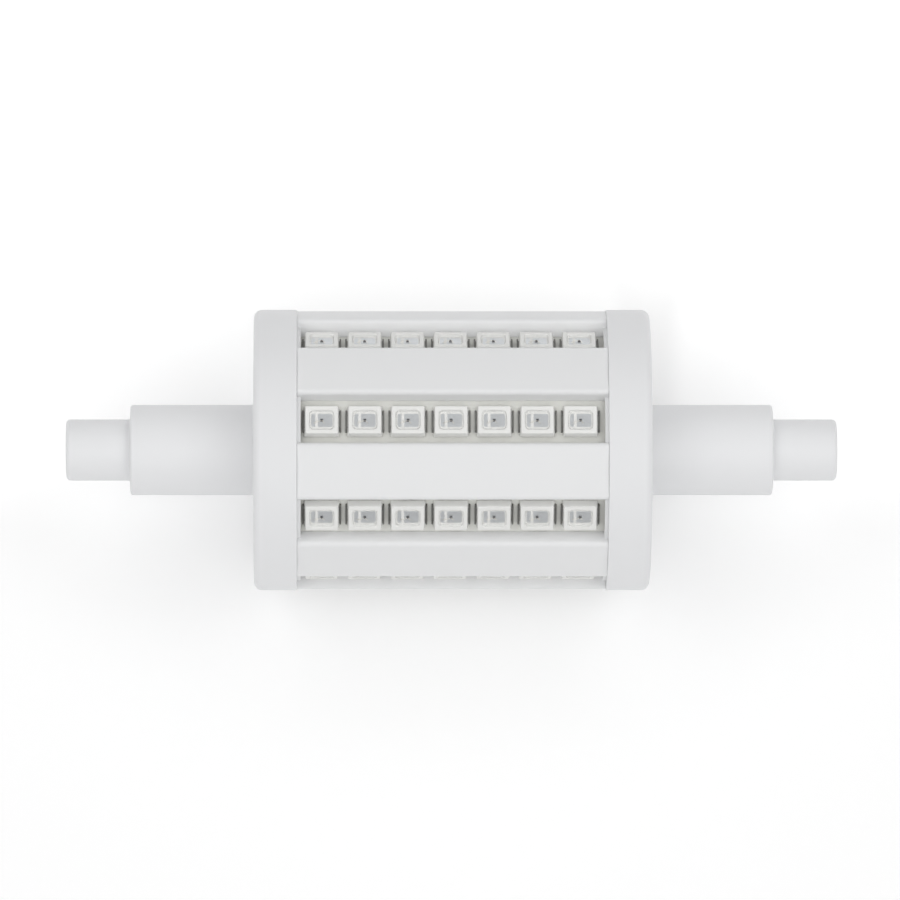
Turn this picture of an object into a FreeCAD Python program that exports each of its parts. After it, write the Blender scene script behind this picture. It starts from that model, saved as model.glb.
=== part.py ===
import FreeCAD, Part
import Sketcher
import os

# Double-ended LED lamp, 78 mm. X runs along the lamp, Z points out of the first light window.
# The origin is the middle of the lamp. All sizes are in millimetres.

doc = FreeCAD.newDocument("linear_led_lamp")
sizes = doc.addObject("Spreadsheet::Sheet", "sizes")

# alias, value, what it is
DRIVING_SIZES = [
    ("lamp_length", 78.0, "overall length over both tips"),
    ("body_radius", 14.2, "outer radius of the end caps"),
    ("skirt_length", 4.4, "length of a cap's rim"),
    ("neck_radius", 4.58, "outer radius of a neck"),
    ("tip_radius", 3.1, "outer radius of a contact tip"),
    ("tip_length", 6.5, "length of a contact tip"),
    ("skirt_wall", 0.9, "wall of the cap skirt"),
    ("end_wall", 1.5, "thickness of the cap flange"),
    ("neck_bore_radius", 3.2, "wire space inside a neck"),
    ("neck_floor", 1.4, "wall between neck bore and shoulder"),
    ("cap_round", 0.8, "rounding of the flange rim"),
    ("shoulder_round", 0.3, "rounding of the neck shoulder"),
    ("tip_round", 0.45, "rounding of the tip end"),
    ("recess_radius", 2.0, "bore that the holder's contact enters"),
    ("recess_depth", 1.55, "depth of that bore to the contact"),
    ("contact_radius", 1.75, "radius of the contact disc"),
    ("contact_thick", 0.5, "thickness of the contact disc"),
    ("shank_radius", 0.8, "radius of the contact's shank"),
    ("shank_tail", 0.6, "shank left inside the neck for solder"),
    ("turned_gap", 0.05, "clearance between nested round pieces"),
    ("seam_gap", 0.02, "seam between cap skirt and ribs"),
    ("window_count", 8.0, "windows, ribs and boards around the lamp"),
    ("rib_drop", 0.347, "ribs' outer faces below the caps' rims"),
    ("window_flare", 0.333, "window's half width at the ribs' faces beyond that at the board"),
    ("rib_seat_gap", 0.05, "ribs to the boards below them"),
    ("rib_round", 0.45, "rounding of a rib's long edges"),
    ("keel_width", 1.0, "web under a rib, between two boards"),
    ("keel_gap", 0.1, "clearance from keel to core"),
    ("spigot_wall", 0.65, "wall of the round end rings"),
    ("end_ledge", 0.35, "end ring left showing in a window"),
    ("light_recess", 0.74, "light packages below the ribs' faces"),
    ("light_side_gap", 0.625, "light package to the window wall beside it"),
    ("core_wall", 1.2, "wall of the core tube"),
    ("board_thick", 1.6, "thickness of a light board"),
    ("board_side_gap", 0.17, "board edge to keel"),
    ("board_end_gap", 0.3, "board end to cap flange"),
    ("link_thick", 0.8, "thickness of a link ring"),
    ("link_inset", 0.6, "link ring to the boards' ends"),
    ("link_pad", 0.5, "link ring's face inside a link wire"),
    ("solder_width", 2.4, "width of one solder fillet"),
    ("sleeve_wall", 0.6, "wall of the insulating sleeve"),
    ("sleeve_gap", 0.1, "sleeve to core clearance"),
    ("sleeve_inset", 0.2, "sleeve end to link ring"),
    ("rail_size", 0.8, "side of a rail that holds the driver board"),
    ("driver_thick", 1.2, "thickness of the driver board"),
    ("driver_corner_gap", 0.12, "driver board's lower edge to the sleeve's slanted wall"),
    ("driver_inset", 1.2, "driver board's end to the sleeve's end"),
    ("light_count", 7.0, "light packages on one board"),
    ("light_pitch", 4.32, "spacing of the light packages"),
    ("light_offset", -0.18, "middle of a row of packages from the lamp's middle"),
    ("light_end_gap", 0.34, "last terminal of a centred row to the window's end ledge"),
    ("light_length", 3.55, "package body along the lamp, at its base"),
    ("light_width", 3.11, "package body across, at its base"),
    ("light_rise", 1.1, "top of a package above its board"),
    ("light_draft", 8.2, "slope of the package's sides in degrees"),
    ("cavity_length", 2.5, "package cavity along the lamp, at its mouth"),
    ("cavity_width", 2.0, "package cavity across, at its mouth"),
    ("cavity_depth", 0.3, "depth of the package cavity"),
    ("cavity_draft", 20.0, "slope of the cavity's walls in degrees"),
    ("cavity_round", 0.4, "rounding of the cavity's corners"),
    ("lead_thick", 0.15, "sheet of a package lead"),
    ("lead_width", 1.35, "lead inside the cavity"),
    ("lead_bend", 1.3, "package middle to a lead's inner bend"),
    ("lead_exit", 0.45, "height where a lead leaves the package"),
    ("terminal_width", 2.2, "lead outside the package"),
    ("terminal_reach", 1.95, "package middle to a terminal's outer face"),
    ("foot_length", 0.8, "terminal foot under the package"),
    ("split_left", 0.66, "package middle to the narrow pad"),
    ("split_right", 0.37, "package middle to the wide pad"),
    ("chip_side", 0.28, "side of a light chip"),
    ("chip_rise", 0.12, "height of a light chip"),
    ("lens_gap", 0.02, "clear resin to cavity wall"),
    ("wire_radius", 0.6, "radius of an input wire over its cover"),
    ("wire_bend", 3.0, "bend radius of an input wire"),
    ("wire_lead_in", 0.2, "wire level before the driver board's end"),
    ("wire_overlap", 2.5, "wire lying on the driver board"),
    ("link_wire_radius", 0.4, "radius of an output link wire"),
    ("link_wire_gap", 0.3, "output link wire to the rail"),
    ("link_wire_overlap", 2.1, "output link wire lying on the driver board"),
    ("pin_radius", 0.3, "radius of a component's leg"),
    ("pin_gap", 0.1, "clearance around a leg in the board"),
    ("pin_tail", 0.9, "leg left below the driver board"),
    ("chip_stand_off", 0.1, "flat components off the driver board"),
    ("chip_lead_out", 0.9, "reach of a flat component's leads"),
    ("chip_lead_rise", 0.35, "height of a flat component's leads"),
    ("fuse_inset", 6.1, "fuse resistor's middle from the board's end"),
    ("fuse_side", 3.0, "fuse resistor beside the axis"),
    ("fuse_level", 2.0, "fuse resistor's axis above the board"),
    ("fuse_radius", 1.5, "radius of the fuse resistor"),
    ("fuse_length", 6.4, "length of the fuse resistor"),
    ("fuse_wire_out", 0.9, "fuse wire outside the barrel"),
    ("bridge_inset", 5.9, "bridge rectifier's middle from the board's end"),
    ("bridge_length", 4.7, "bridge rectifier along the lamp"),
    ("bridge_width", 3.8, "bridge rectifier across"),
    ("bridge_rise", 2.4, "height of the bridge rectifier"),
    ("bridge_lead", 0.7, "width of its leads"),
    ("bulk_place", -1.2, "bulk capacitor along the lamp"),
    ("bulk_radius", 4.0, "radius of the bulk capacitor"),
    ("bulk_headroom", 0.23, "bulk capacitor's rim to the sleeve"),
    ("bulk_spread", 1.75, "its legs from its middle"),
    ("coil_inset", 8.7, "inductor's middle from the board's end"),
    ("coil_radius", 3.5, "radius of the inductor's flanges"),
    ("coil_flange", 0.9, "thickness of the inductor's flanges"),
    ("coil_rise", 6.0, "height of the inductor"),
    ("coil_margin", 0.4, "winding inside the flanges"),
    ("coil_depth", 1.25, "depth of the winding"),
    ("coil_spread", 2.0, "inductor's legs from its middle"),
    ("control_place", 2.8, "driver chip along the lamp"),
    ("control_length", 4.9, "driver chip along the lamp, its own length"),
    ("control_width", 3.9, "driver chip across"),
    ("control_rise", 1.6, "height of the driver chip"),
    ("control_lead", 0.4, "width of its leads"),
    ("diode_inset", 5.6, "flywheel diode's middle from the board's end"),
    ("diode_length", 2.6, "flywheel diode along the lamp"),
    ("diode_width", 4.3, "flywheel diode across"),
    ("diode_rise", 2.2, "height of the flywheel diode"),
    ("diode_lead", 1.4, "width of its leads"),
    ("output_inset", 2.6, "output capacitor's middle from the board's end"),
    ("output_radius", 2.0, "radius of the output capacitor"),
    ("output_wire_gap", 0.3, "output capacitor to the input wire"),
    ("output_rise", 4.5, "height of the output capacitor"),
    ("output_spread", 1.0, "its legs from its middle"),
]

for row, (alias, value, meaning) in enumerate(DRIVING_SIZES, start=1):
    sizes.set(f"A{row}", meaning)
    sizes.set(f"B{row}", str(value))
    sizes.setAlias(f"B{row}", alias)
doc.recompute()

# Derived places, written once as expressions on the sheet.
WINDOWS = int(sizes.window_count)
STEP = 360.0 / WINDOWS
HALF_STEP = STEP / 2
LIGHT_ROW = "((sizes.light_count - 1) * sizes.light_pitch / 2 + sizes.terminal_reach)"
SPIGOT_START = f"({LIGHT_ROW} + sizes.light_end_gap)"
WINDOW_END = f"({SPIGOT_START} + sizes.end_ledge)"
CAP_FACE = f"({WINDOW_END} + sizes.skirt_length)"
WALL_INNER = f"({CAP_FACE} - sizes.end_wall)"
TIP_END = "(sizes.lamp_length / 2)"
SHOULDER = f"({TIP_END} - sizes.tip_length)"
BORE_END = f"({SHOULDER} - sizes.neck_floor)"
CONTACT_FACE = f"({TIP_END} - sizes.recess_depth)"
CONTACT_SEAT = f"({CONTACT_FACE} - sizes.contact_thick)"
SHANK_END = f"({BORE_END} - sizes.shank_tail)"
SKIRT_EDGE = f"({WINDOW_END} + sizes.seam_gap)"
SKIRT_INNER = "(sizes.body_radius - sizes.skirt_wall)"
SPIGOT_RADIUS = f"({SKIRT_INNER} - sizes.turned_gap)"
SPIGOT_INNER = f"({SPIGOT_RADIUS} - sizes.spigot_wall)"
RIB_FACE = "(sizes.body_radius - sizes.rib_drop)"
WINDOW_HALF = "(sizes.light_width / 2 + sizes.light_side_gap)"
BOARD_FACE = f"({RIB_FACE} - sizes.light_recess - sizes.light_rise)"
RIB_SEAT = f"({BOARD_FACE} + sizes.rib_seat_gap)"
CORE_FACE = f"({BOARD_FACE} - sizes.board_thick)"
KEEL_FOOT = f"({CORE_FACE} / cos({HALF_STEP}) + sizes.keel_gap)"
BOARD_HALF = (f"(({CORE_FACE} * sin({HALF_STEP}) - sizes.keel_width / 2 - sizes.board_side_gap)"
              f" / cos({HALF_STEP}))")
BOARD_END = f"({WALL_INNER} - sizes.board_end_gap)"
LINK_OUTER = f"({BOARD_END} - sizes.link_inset)"
LINK_INNER = f"({LINK_OUTER} - sizes.link_thick)"
SLEEVE_OUTER = f"({CORE_FACE} - sizes.core_wall - sizes.sleeve_gap)"
SLEEVE_INNER = f"({SLEEVE_OUTER} - sizes.sleeve_wall)"
SLEEVE_END = f"({LINK_INNER} - sizes.sleeve_inset)"
DRIVER_END = f"({SLEEVE_END} - sizes.driver_inset)"
DRIVER_HALF = f"({SLEEVE_INNER} - sizes.turned_gap)"
DRIVER_UNDER = f"(sizes.driver_corner_gap - {SLEEVE_INNER} * tan({HALF_STEP}))"
DRIVER_TOP = f"({DRIVER_UNDER} + sizes.driver_thick)"
LINK_WIRE_SIDE = f"({SLEEVE_INNER} - sizes.rail_size - sizes.link_wire_gap - sizes.link_wire_radius)"
CAVITY_FLOOR = "(sizes.light_rise - sizes.cavity_depth)"


def size(expression):
    """The number that an expression on the sheet gives."""
    return float(sizes.evalExpression(expression.replace("sizes.", "")))


def plane(body, role):
    return next(f for f in body.Origin.OriginFeatures if f.Role == role)


def turned_about_x(degrees):
    return FreeCAD.Placement(FreeCAD.Vector(), FreeCAD.Rotation(FreeCAD.Vector(1, 0, 0), degrees))


def turned_end_for_end():
    return FreeCAD.Placement(FreeCAD.Vector(), FreeCAD.Rotation(FreeCAD.Vector(0, 0, 1), 180))


def new_body(label):
    body = doc.addObject("PartDesign::Body", label)
    body.Label = label
    return body


def outline(body, role, name, *loops):
    """A sketch on an origin plane whose corners are pinned to expressions."""
    sketch = body.newObject("Sketcher::SketchObject", name)
    sketch.AttachmentSupport = [(plane(body, role), "")]
    sketch.MapMode = "FlatFace"
    for corners in loops:
        start = sketch.GeometryCount
        points = [FreeCAD.Vector(size(across), size(up), 0) for across, up in corners]
        for here, there in zip(points, points[1:] + points[:1]):
            sketch.addGeometry(Part.LineSegment(here, there))
        for index, (across, up) in enumerate(corners):
            line = start + index
            following = start + (index + 1) % len(corners)
            sketch.addConstraint(Sketcher.Constraint("Coincident", line, 2, following, 1))
            for kind, axis, expression in (("DistanceX", "x", across), ("DistanceY", "y", up)):
                constraint = Sketcher.Constraint(kind, -1, 1, line, 1, size(expression))
                number = sketch.addConstraint(constraint)
                sketch.renameConstraint(number, f"{axis}{line}")
                sketch.setExpression(f"Constraints.{axis}{line}", expression)
    return sketch


def turned(body, sketch, name):
    feature = body.newObject("PartDesign::Revolution", name)
    feature.Profile = sketch
    feature.ReferenceAxis = (sketch, ["H_Axis"])
    feature.Angle = 360
    doc.recompute()
    return feature


def padded(body, sketch, name, length, symmetric=False):
    feature = body.newObject("PartDesign::Pad", name)
    feature.Profile = sketch
    feature.setExpression("Length", length)
    feature.SideType = "Symmetric" if symmetric else "One side"
    doc.recompute()
    return feature


def rounded(body, name, radius, wanted):
    """Rounds the edges of the body that a test picks."""
    base = body.Tip
    picked = [f"Edge{i}" for i, edge in enumerate(base.Shape.Edges, start=1) if wanted(edge)]
    feature = body.newObject("PartDesign::Fillet", name)
    feature.Base = (base, picked)
    feature.setExpression("Radius", radius)
    doc.recompute()
    return feature


def ring_edge(place, radius):
    """Picks the circle at one place along X with one radius."""
    def wanted(edge):
        curve = edge.Curve
        return (isinstance(curve, Part.Circle) and abs(curve.Radius - size(radius)) < 1e-4
                and abs(curve.Center.x - size(place)) < 1e-4)
    return wanted


def feature_from(label, shape, placement=None):
    """A piece whose shape is worked out here from the sheet."""
    piece = doc.addObject("Part::Feature", label)
    piece.Label = label
    piece.Shape = shape
    if placement:
        piece.Placement = placement
    return piece


def bound(kind, label, **expressions):
    """A Part primitive with its sizes bound to the sheet."""
    piece = doc.addObject(kind, label)
    piece.Label = label
    for name, expression in expressions.items():
        piece.setExpression(name.replace("_", "."), expression)
    return piece


def box(label, length, width, height, x, y, z):
    """A box between x, y, z and its far corner."""
    return bound("Part::Box", label, Length=length, Width=width, Height=height,
                 Placement_Base_x=x, Placement_Base_y=y, Placement_Base_z=z)


def cylinder(label, radius, height, x, y, z):
    """An upright cylinder that stands at x, y, z."""
    return bound("Part::Cylinder", label, Radius=radius, Height=height,
                 Placement_Base_x=x, Placement_Base_y=y, Placement_Base_z=z)


def fused(label, *shapes):
    piece = doc.addObject("Part::MultiFuse", label)
    piece.Label = label
    piece.Shapes = list(shapes)
    return piece


def cut(label, base, tool):
    piece = doc.addObject("Part::Cut", label)
    piece.Label = label
    piece.Base = base
    piece.Tool = tool
    return piece


def prism(label, apothem, start, length):
    """A regular prism along X with a flat that faces up."""
    piece = bound("Part::Prism", label, Circumradius=f"{apothem} / cos({HALF_STEP})", Height=length,
                  Polygon="sizes.window_count", Placement_Base_x=start)
    lying = FreeCAD.Rotation(FreeCAD.Vector(0, 1, 0), 90)
    rolled = FreeCAD.Rotation(FreeCAD.Vector(1, 0, 0), HALF_STEP)
    piece.Placement.Rotation = rolled.multiply(lying)
    return piece


kept = []


# End caps: skirt, flange, neck and contact tip are one moulding, used at both ends.
def end_cap(label):
    body = new_body(label)
    profile = outline(body, "XY_Plane", label + "_profile", [
        (SKIRT_EDGE, SKIRT_INNER),
        (SKIRT_EDGE, "sizes.body_radius"),
        (CAP_FACE, "sizes.body_radius"),
        (CAP_FACE, "sizes.neck_radius"),
        (SHOULDER, "sizes.neck_radius"),
        (SHOULDER, "sizes.tip_radius"),
        (TIP_END, "sizes.tip_radius"),
        (TIP_END, "sizes.recess_radius"),
        (CONTACT_FACE, "sizes.recess_radius"),
        (CONTACT_FACE, "(sizes.contact_radius + sizes.turned_gap)"),
        (CONTACT_SEAT, "(sizes.contact_radius + sizes.turned_gap)"),
        (CONTACT_SEAT, "(sizes.shank_radius + sizes.turned_gap)"),
        (BORE_END, "(sizes.shank_radius + sizes.turned_gap)"),
        (BORE_END, "sizes.neck_bore_radius"),
        (WALL_INNER, "sizes.neck_bore_radius"),
        (WALL_INNER, SKIRT_INNER)])
    turned(body, profile, label + "_turned")
    rounded(body, label + "_rim", "sizes.cap_round", ring_edge(CAP_FACE, "sizes.body_radius"))
    rounded(body, label + "_shoulder", "sizes.shoulder_round", ring_edge(SHOULDER, "sizes.neck_radius"))
    rounded(body, label + "_nose", "sizes.tip_round", ring_edge(TIP_END, "sizes.tip_radius"))
    return body


# Contacts: a disc in the recess with a shank through the tip.
def contact(label):
    body = new_body(label)
    profile = outline(body, "XY_Plane", label + "_profile", [
        (SHANK_END, "0"),
        (SHANK_END, "sizes.shank_radius"),
        (CONTACT_SEAT, "sizes.shank_radius"),
        (CONTACT_SEAT, "sizes.contact_radius"),
        (CONTACT_FACE, "sizes.contact_radius"),
        (CONTACT_FACE, "0")])
    turned(body, profile, label + "_turned")
    return body


for side, placement in (("right", FreeCAD.Placement()), ("left", turned_end_for_end())):
    for maker, label in ((end_cap, "end_cap_"), (contact, "contact_")):
        piece = maker(label + side)
        piece.Placement = placement
        kept.append(piece)


def seen_from_rib(across, level):
    """A point beside a window's middle, over its board, in the frame of the rib next to it."""
    return (f"({level} * sin({HALF_STEP}) - {across} * cos({HALF_STEP}))",
            f"({level} * cos({HALF_STEP}) + {across} * sin({HALF_STEP}))")


# Rib cage: two round end rings joined by flat ribs. Each rib stands on two boards, with a slanted wall
# along each of its windows, and has a keel between the boards.
def rib_cage():
    body = new_body("rib_cage")
    ring_corners = [(SPIGOT_START, SPIGOT_INNER), (SPIGOT_START, SPIGOT_RADIUS),
                    (WALL_INNER, SPIGOT_RADIUS), (WALL_INNER, SPIGOT_INNER)]
    far_corners = [(f"-{along}", radius) for along, radius in ring_corners]
    rings = outline(body, "XY_Plane", "ring_profile", ring_corners, far_corners)
    turned(body, rings, "end_rings")
    half_keel = "(sizes.keel_width / 2)"
    rib_half = seen_from_rib(f"({WINDOW_HALF} + sizes.window_flare)", RIB_FACE)[0]
    keel_root = f"(({RIB_SEAT} - {half_keel} * sin({HALF_STEP})) / cos({HALF_STEP}))"
    one_side = [(rib_half, RIB_FACE), seen_from_rib(WINDOW_HALF, RIB_SEAT),
                (half_keel, keel_root), (half_keel, KEEL_FOOT)]
    other_side = [(f"-{across}", up) for across, up in reversed(one_side)]
    section = outline(body, "YZ_Plane", "rib_section", one_side + other_side)
    rib = padded(body, section, "rib", f"2 * {WINDOW_END}", symmetric=True)
    ribs = body.newObject("PartDesign::PolarPattern", "ribs")
    ribs.Originals = [rib]
    ribs.Axis = (section, ["N_Axis"])
    ribs.Angle = 360
    ribs.setExpression("Occurrences", "sizes.window_count")
    body.Tip = ribs
    doc.recompute()
    corner = (size(rib_half) ** 2 + size(RIB_FACE) ** 2) ** 0.5

    def long_outer_edge(edge):
        first, last = (vertex.Point for vertex in edge.Vertexes) if len(edge.Vertexes) == 2 else (None, None)
        if first is None or abs(abs(first.x - last.x) - 2 * size(WINDOW_END)) > 1e-4:
            return False
        return abs((first.y ** 2 + first.z ** 2) ** 0.5 - corner) < 1e-4

    rounded(body, "rib_edges", "sizes.rib_round", long_outer_edge)
    body.Placement = turned_about_x(HALF_STEP)
    return body


kept.append(rib_cage())

# Core tube: the metal extrusion that the light boards are bonded to.
core_span = f"2 * {LINK_INNER}"
core_outer = prism("core_outer", CORE_FACE, f"-{LINK_INNER}", core_span)
core_inner = prism("core_inner", f"({CORE_FACE} - sizes.core_wall)", f"-{LINK_INNER}", core_span)
kept.append(cut("core_tube", core_outer, core_inner))


# Light boards: one strip on each flat of the core.
def light_board(number):
    label = f"light_board_{number}"
    body = new_body(label)
    sketch = outline(body, "XY_Plane", label + "_outline", [
        (BOARD_END, BOARD_HALF),
        (f"-{BOARD_END}", BOARD_HALF),
        (f"-{BOARD_END}", f"-{BOARD_HALF}"),
        (BOARD_END, f"-{BOARD_HALF}")])
    sketch.setExpression("AttachmentOffset.Base.z", CORE_FACE)
    padded(body, sketch, label + "_pad", "sizes.board_thick")
    return body


# One light package, built in its own frame: Z out of the board, its base on the board.
def package_leads():
    """Two bent leads: pad in the cavity, bend in the package, arm and riser outside, foot on the board."""
    thick, level = "sizes.lead_thick", "sizes.lead_exit"
    bend, outer = "sizes.lead_bend", "sizes.terminal_reach"
    inside, outside = "sizes.lead_width", "sizes.terminal_width"
    leads = []
    for side, inner_edge in (("narrow", "sizes.split_left"), ("wide", "(-sizes.split_right)")):
        plates = []
        for name, near, far, width, low, high in (
                ("pad", inner_edge, bend, inside, f"({CAVITY_FLOOR} - {thick})", CAVITY_FLOOR),
                ("drop", f"({bend} - {thick})", bend, inside, f"({level} - {thick})", CAVITY_FLOOR),
                ("arm", f"({bend} - {thick})", outer, inside, f"({level} - {thick})", level),
                ("riser", f"({outer} - {thick})", outer, outside, "0", level),
                ("foot", f"({outer} - sizes.foot_length)", outer, outside, "0", thick)):
            start = f"-{far}" if side == "narrow" else near
            plates.append(box(f"{side}_{name}", f"({far} - {near})", width, f"({high} - {low})",
                              start, f"-{width} / 2", low))
        leads.append(fused(f"{side}_lead", *plates))
    return leads


def tapered_block(label, length, width, low, high, taper):
    """A block with slanted sides that stands over the package's middle. Its base has the given sizes."""
    body = new_body(label)
    sketch = outline(body, "XY_Plane", label + "_base", [
        (f"{length} / 2", f"{width} / 2"), (f"-{length} / 2", f"{width} / 2"),
        (f"-{length} / 2", f"-{width} / 2"), (f"{length} / 2", f"-{width} / 2")])
    sketch.setExpression("AttachmentOffset.Base.z", low)
    block = padded(body, sketch, label + "_pad", f"{high} - {low}")
    block.setExpression("TaperAngle", taper)
    doc.recompute()
    return body


def cavity_block(label, gap):
    """The room in a package's cavity, less a gap on every side but its floor."""
    spread = "2 * sizes.cavity_depth * tan(sizes.cavity_draft)"
    body = tapered_block(label, f"(sizes.cavity_length - {spread} - 2 * {gap})",
                         f"(sizes.cavity_width - {spread} - 2 * {gap})", CAVITY_FLOOR,
                         f"(sizes.light_rise - {gap})", "sizes.cavity_draft")
    rounded(body, label + "_corners", "sizes.cavity_round",
            lambda edge: abs(edge.Vertexes[0].Z - edge.Vertexes[-1].Z) > size("sizes.cavity_depth") / 2)
    return body


leads = package_leads()
block = tapered_block("package_block", "sizes.light_length", "sizes.light_width", "sizes.lead_thick",
                      "sizes.light_rise", "-sizes.light_draft")
package = cut("package", block, fused("package_room", cavity_block("package_cavity", "0"), *leads))
chip = box("package_chip", "sizes.chip_side", "sizes.chip_side", "sizes.chip_rise",
           "-sizes.chip_side / 2", "-sizes.chip_side / 2", CAVITY_FLOOR)
lens = cut("package_lens", cavity_block("package_resin", "sizes.lens_gap"), chip)
doc.recompute()


def row_of(*pieces):
    """Copies of a package's pieces, one set at each place along a board."""
    count = int(sizes.light_count)
    copies = []
    for index in range(count):
        along = (index - (count - 1) / 2) * size("sizes.light_pitch") + size("sizes.light_offset")
        for piece in pieces:
            copy = piece.Shape.copy()
            copy.translate(FreeCAD.Vector(along, 0, size(BOARD_FACE)))
            copies.append(copy)
    return Part.makeCompound(copies)


def all_around(row):
    """The same row on every board."""
    rows = []
    for index in range(WINDOWS):
        copy = row.copy()
        copy.rotate(FreeCAD.Vector(), FreeCAD.Vector(1, 0, 0), index * STEP)
        rows += copy.Solids
    return Part.makeCompound(rows)


for index in range(WINDOWS):
    placement = turned_about_x(index * STEP)
    board = light_board(index + 1)
    board.Placement = placement
    kept.append(board)
    kept.append(feature_from(f"light_packages_{index + 1}", row_of(package), placement))
    kept.append(feature_from(f"light_leads_{index + 1}", row_of(*leads), placement))
    kept.append(feature_from(f"light_lenses_{index + 1}", row_of(lens), placement))
kept.append(feature_from("light_chips", all_around(row_of(chip))))


# Link rings: round the boards' ends, soldered to each board.
def link_ring(side, start):
    plate = prism(f"link_plate_{side}", f"({CORE_FACE} - sizes.turned_gap)", start, "sizes.link_thick")
    hole = bound("Part::Cylinder", f"link_hole_{side}", Radius=f"{LINK_WIRE_SIDE} - sizes.link_pad",
                 Height="sizes.link_thick", Placement_Base_x=start)
    hole.Placement.Rotation = FreeCAD.Rotation(FreeCAD.Vector(0, 1, 0), 90)
    return cut(f"link_ring_{side}", plate, hole)


def solder_joints(label):
    """One fillet in each corner between the right link ring and a board."""
    face, top, half = size(LINK_OUTER), size(CORE_FACE), size("sizes.solder_width") / 2
    leg = size("sizes.link_inset") - size("sizes.turned_gap")
    corners = [FreeCAD.Vector(face, -half, top), FreeCAD.Vector(face + leg, -half, top),
               FreeCAD.Vector(face, -half, top - leg)]
    fillet = Part.Face(Part.makePolygon(corners + corners[:1])).extrude(FreeCAD.Vector(0, 2 * half, 0))
    return feature_from(label, all_around(Part.makeCompound([fillet])))


kept.append(link_ring("right", LINK_INNER))
kept.append(link_ring("left", f"-{LINK_OUTER}"))
for side, placement in (("right", FreeCAD.Placement()), ("left", turned_end_for_end())):
    joints = solder_joints(f"solder_{side}")
    joints.Placement = placement
    kept.append(joints)

# Insulating sleeve inside the core, with rails for the driver board.
sleeve_span = f"2 * {SLEEVE_END}"
sleeve_tube = cut("sleeve_tube",
                  prism("sleeve_outer", SLEEVE_OUTER, f"-{SLEEVE_END}", sleeve_span),
                  prism("sleeve_inner", SLEEVE_INNER, f"-{SLEEVE_END}", sleeve_span))
rails = []
for side, near in (("front", f"-{SLEEVE_INNER}"), ("back", f"({SLEEVE_INNER} - sizes.rail_size)")):
    for level, foot in (("upper", f"{DRIVER_TOP} + sizes.turned_gap"),
                        ("lower", f"{DRIVER_UNDER} - sizes.rail_size")):
        rails.append(box(f"{side}_{level}_rail", f"2 * {DRIVER_END}", "sizes.rail_size",
                         "sizes.rail_size", f"-{DRIVER_END}", near, foot))
kept.append(fused("insulator_sleeve", sleeve_tube, *rails))

# Driver components: tall ones stand on the driver board, flat ones hang under it.
LEG_FOOT = f"({DRIVER_UNDER} - sizes.pin_tail)"
LEG_LENGTH = "(sizes.driver_thick + sizes.pin_tail)"
leg_places = []


def from_left(inset):
    return f"({inset} - {DRIVER_END})"


def from_right(inset):
    return f"({DRIVER_END} - {inset})"


def headroom(reach, gap):
    """Height over the driver board that leaves a gap under the sleeve's top or slanted wall."""
    slanted = f"({SLEEVE_INNER} - {reach} * sin({STEP})) / cos({STEP})"
    return f"(min({SLEEVE_INNER}; {slanted}) - {gap} - {DRIVER_TOP})"


def legs(label, rise, *places):
    """Round legs that pass through the driver board and reach up into their component."""
    made = []
    for number, (x, y) in enumerate(places, start=1):
        leg_places.append((x, y))
        made.append(cylinder(f"{label}_leg_{number}", "sizes.pin_radius", f"{LEG_LENGTH} + {rise}",
                             x, y, LEG_FOOT))
    return made


def standing_can(label, name, x, y, rise):
    """A round can that stands on two legs."""
    spread = f"sizes.{name}_spread"
    can = cylinder(label + "_can", f"sizes.{name}_radius", rise, x, y, DRIVER_TOP)
    return fused(label, can, *legs(label, f"{rise} / 2", (x, f"{y} - {spread}"), (x, f"{y} + {spread}")))


def flat_chip(label, name, x, lead_count):
    """A flat package under the driver board, with short leads along two sides."""
    length, width, lead = f"sizes.{name}_length", f"sizes.{name}_width", f"sizes.{name}_lead"
    block = box(label + "_block", length, width, f"sizes.{name}_rise - sizes.chip_stand_off",
                f"{x} - {length} / 2", f"-{width} / 2", f"{DRIVER_UNDER} - sizes.{name}_rise")
    bars = []
    for number in range(lead_count):
        offset = (number - (lead_count - 1) / 2) / lead_count
        bars.append(box(f"{label}_lead_{number + 1}", lead, f"{width} + 2 * sizes.chip_lead_out",
                        "sizes.chip_lead_rise", f"{x} + {offset} * {length} - {lead} / 2",
                        f"-{width} / 2 - sizes.chip_lead_out", f"{DRIVER_UNDER} - sizes.chip_lead_rise"))
    return fused(label, block, *bars)


def lying(label, radius, length, x, y):
    """A cylinder along X at the fuse resistor's level."""
    piece = cylinder(label, radius, length, f"{x} - {length} / 2", y, f"{DRIVER_TOP} + sizes.fuse_level")
    piece.Placement.Rotation = FreeCAD.Rotation(FreeCAD.Vector(0, 1, 0), 90)
    return piece


def fuse_resistor(x, y):
    """A lying barrel with a leg bent down at each end."""
    span = "(sizes.fuse_length + 2 * sizes.fuse_wire_out)"
    barrel = lying("fuse_barrel", "sizes.fuse_radius", "sizes.fuse_length", x, y)
    wire = lying("fuse_wire", "sizes.pin_radius", span, x, y)
    feet = legs("fuse", "sizes.fuse_level", (f"{x} - {span} / 2", y), (f"{x} + {span} / 2", y))
    return fused("fuse_resistor", barrel, wire, *feet)


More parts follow.
